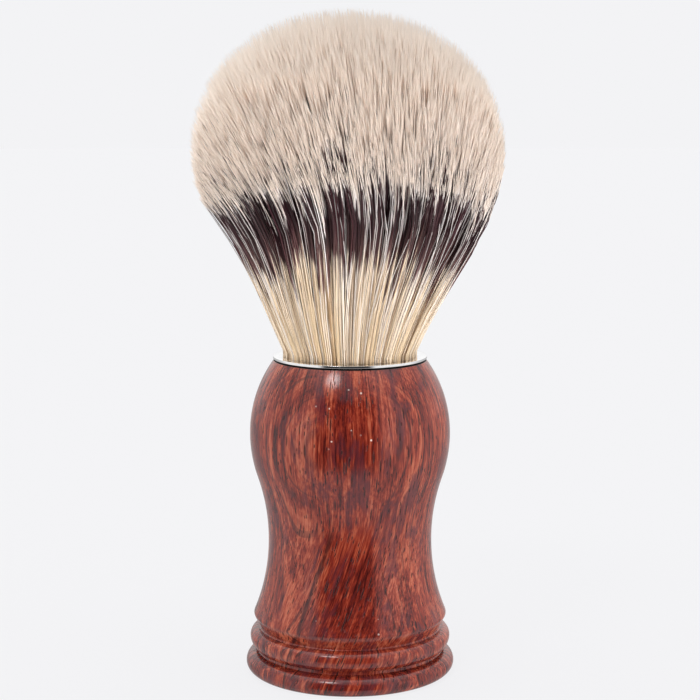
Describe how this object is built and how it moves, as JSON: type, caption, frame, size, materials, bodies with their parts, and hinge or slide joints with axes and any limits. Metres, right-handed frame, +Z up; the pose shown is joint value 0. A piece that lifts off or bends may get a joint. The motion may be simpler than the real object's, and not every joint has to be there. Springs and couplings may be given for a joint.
{
  "type": "shaving brush",
  "caption": "Turned hardwood shaving brush with a two-beaded flared base, a polished metal trim ring and a full fanned knot of fine fibres.",
  "frame": {"origin": "centre of the flat foot, on the surface that the brush stands on", "axes": "+Z up along the brush's axis, from the foot to the tips of the fibres; +X to the right and -Y towards the viewer"},
  "size_m": [0.049, 0.049, 0.1084],
  "materials": {
    "varnished_wood": "gloss varnish over reddish-brown figured hardwood",
    "polished_metal": "polished plate",
    "knot_fibre": "fine tapered fibres, cream roots, dark brown band, pale tips",
    "cast_resin": "cast amber resin",
    "binding_thread": "twisted waxed thread",
    "epoxy": "cured clear epoxy, slightly yellow"
  },
  "bodies": {
    "root": {"handle": "varnished_wood", "trim_ring": "polished_metal", "fibre_bundle": "knot_fibre", "root_plug": "cast_resin", "root_binding": "binding_thread", "setting_adhesive": "epoxy"}
  },
  "joints": []
}
